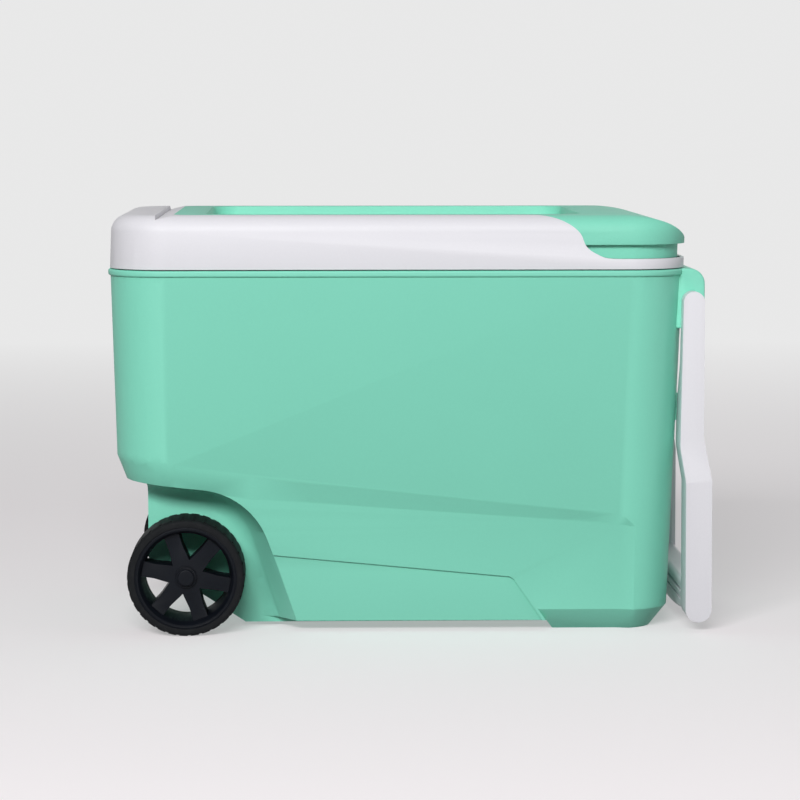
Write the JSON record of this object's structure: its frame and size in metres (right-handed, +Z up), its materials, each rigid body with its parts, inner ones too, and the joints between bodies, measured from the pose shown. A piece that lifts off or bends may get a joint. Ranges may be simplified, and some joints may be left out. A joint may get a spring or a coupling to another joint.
{
  "type": "wheeled cooler",
  "caption": "Insulated chest on two wheels and a moulded foot, with a hinged lid, a shallow tray in the lid and a swinging tow handle.",
  "frame": {"origin": "middle of the overall box, on the floor", "axes": "+X from the wheels to the tow handle, +Y across the chest away from its front side, +Z up"},
  "size_m": [0.5895, 0.35, 0.4076],
  "materials": {
    "mint_plastic": "fine pebble texture, satin",
    "white_plastic": "smooth satin",
    "black_plastic": "satin",
    "tread": "matt",
    "steel": "zinc plated",
    "foam": "rigid foam"
  },
  "bodies": {
    "cooler_body": {"outer_shell": "mint_plastic", "handle_bracket": "mint_plastic", "inner_liner": "white_plastic", "front_axle_cap": "black_plastic", "rear_axle_cap": "black_plastic", "axle": "steel", "front_pivot_pin": "steel", "rear_pivot_pin": "steel", "bracket_screws": "steel", "body_hinge_screws": "steel", "front_hinge_pin": "steel", "rear_hinge_pin": "steel", "front_hinge_body_leaf": "steel", "rear_hinge_body_leaf": "steel", "body_insulation": "foam"},
    "lid": {"lid_frame": "white_plastic", "lid_top": "mint_plastic", "lid_liner": "white_plastic", "lid_insulation": "foam", "front_hinge_lid_leaf": "steel", "rear_hinge_lid_leaf": "steel", "lid_hinge_screws": "steel"},
    "handle": {"tow_handle": "white_plastic"},
    "front_wheel_set": {"front_wheel": "black_plastic", "front_tyre": "tread"},
    "rear_wheel_set": {"rear_wheel": "black_plastic", "rear_tyre": "tread"}
  },
  "joints": [
    {"name": "lid_hinge", "type": "hinge", "parent": "cooler_body", "child": "lid", "pos_m": [-0.2914, 0, 0.3576], "axis": [0, -1, 0], "range_deg": [0, 100]},
    {"name": "handle_swing", "type": "hinge", "parent": "cooler_body", "child": "handle", "pos_m": [0.2762, 0, 0.3225], "axis": [0, -1, 0], "range_deg": [0, 150]},
    {"name": "front_wheel_spin", "type": "hinge", "parent": "cooler_body", "child": "front_wheel_set", "pos_m": [-0.218, -0.1475, 0.057], "axis": [0, 1, 0], "continuous": true},
    {"name": "rear_wheel_spin", "type": "hinge", "parent": "cooler_body", "child": "rear_wheel_set", "pos_m": [-0.218, 0.1475, 0.057], "axis": [0, 1, 0], "continuous": true}
  ]
}
